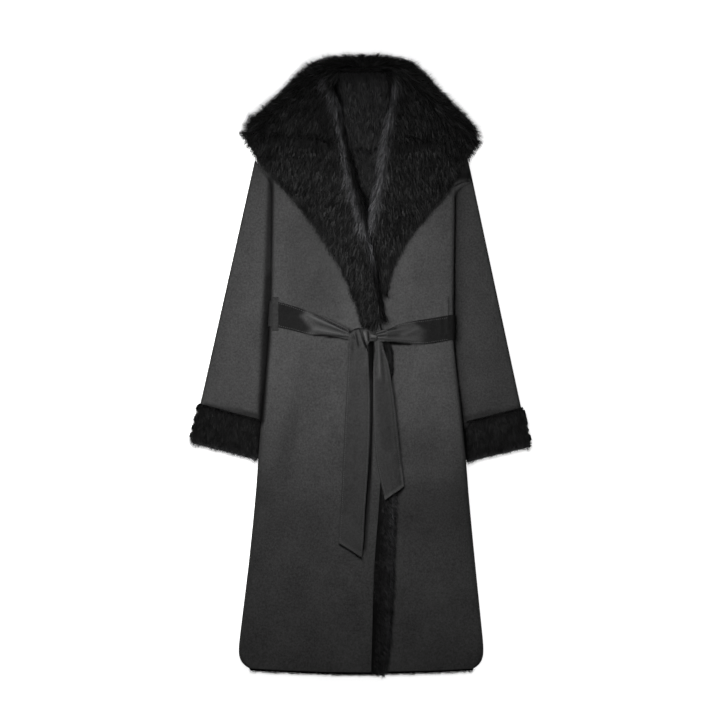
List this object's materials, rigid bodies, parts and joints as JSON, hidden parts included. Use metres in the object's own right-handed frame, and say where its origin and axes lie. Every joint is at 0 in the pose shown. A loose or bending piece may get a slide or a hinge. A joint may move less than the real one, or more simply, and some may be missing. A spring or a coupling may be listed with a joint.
{
  "type": "long coat",
  "caption": "Long belted wrap coat of suede-like cloth with a shaggy fur shawl collar, turned-back fur cuffs and fur lining, laid flat with the front up.",
  "frame": {"origin": "under the middle of the whole coat, on the surface that it lies on", "axes": "+Z out of the coat's front, +Y from hem to collar, +X to the wearer's left"},
  "size_m": [0.688, 1.2494, 0.0532],
  "materials": {
    "suede": "matt charcoal suede-like napped cloth",
    "fur": "long near-black faux fur pile",
    "sash": "the suede-like cloth, folded double as a belt"
  },
  "bodies": {
    "root": {"back_shell": "suede", "belt_loop": "suede", "right_front_shell": "suede", "left_front_shell": "suede", "right_sleeve_shell": "suede", "left_sleeve_shell": "suede", "back_lining": "fur", "right_front_lining": "fur", "left_front_lining": "fur", "right_sleeve_lining": "fur", "left_sleeve_lining": "fur", "right_cuff": "fur", "left_cuff": "fur", "collar_right": "fur", "collar_left": "fur", "collar_stand": "fur", "belt_band": "sash", "belt_knot": "sash", "belt_tail_long": "sash", "belt_tail_short": "sash"}
  },
  "joints": []
}
